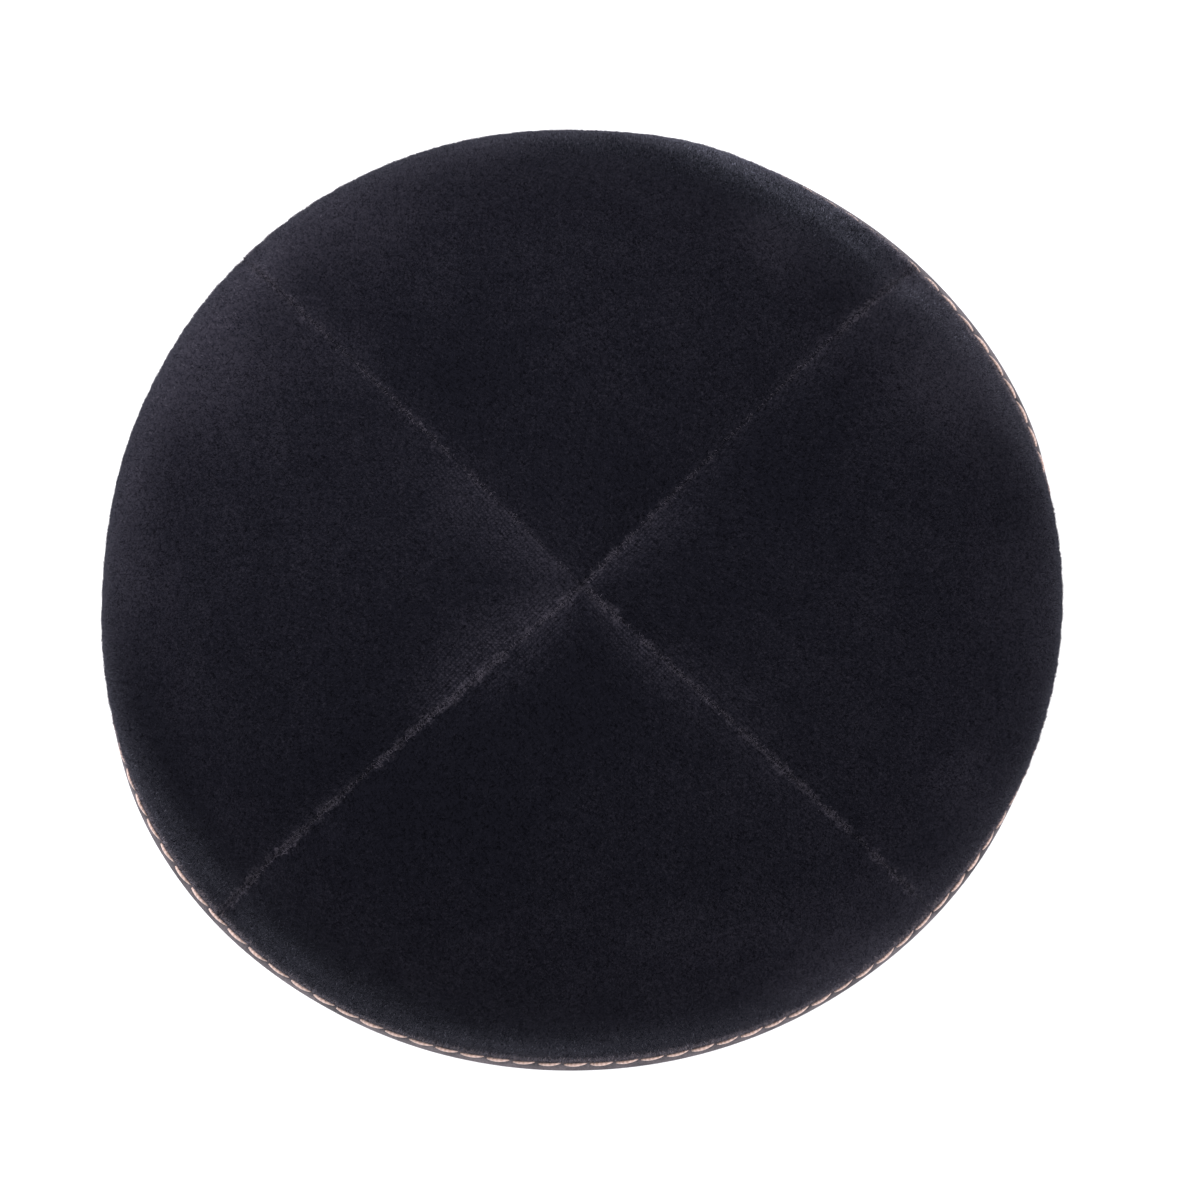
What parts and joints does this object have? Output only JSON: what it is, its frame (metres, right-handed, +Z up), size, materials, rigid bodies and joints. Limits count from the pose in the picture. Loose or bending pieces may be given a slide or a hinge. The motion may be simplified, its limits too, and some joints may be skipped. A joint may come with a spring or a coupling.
{
  "type": "kippah skullcap",
  "caption": "Round dark velvet skullcap of sewn gores on a bound rim, hollow below, worn on the crown of the head.",
  "frame": {"origin": "in the plane of the rim, below the middle of the cap's outline", "axes": "+Z up through the crown, -Y to the front panel, +X to the right panel"},
  "size_m": [0.1698, 0.1666, 0.0512],
  "materials": {
    "velvet": "black cotton velvet with a short brushed pile",
    "edging": "folded dark velvet edging, pressed flat"
  },
  "bodies": {
    "root": {"panel_front": "velvet", "panel_right": "velvet", "panel_back": "velvet", "panel_left": "velvet", "rim_binding": "edging"}
  },
  "joints": []
}
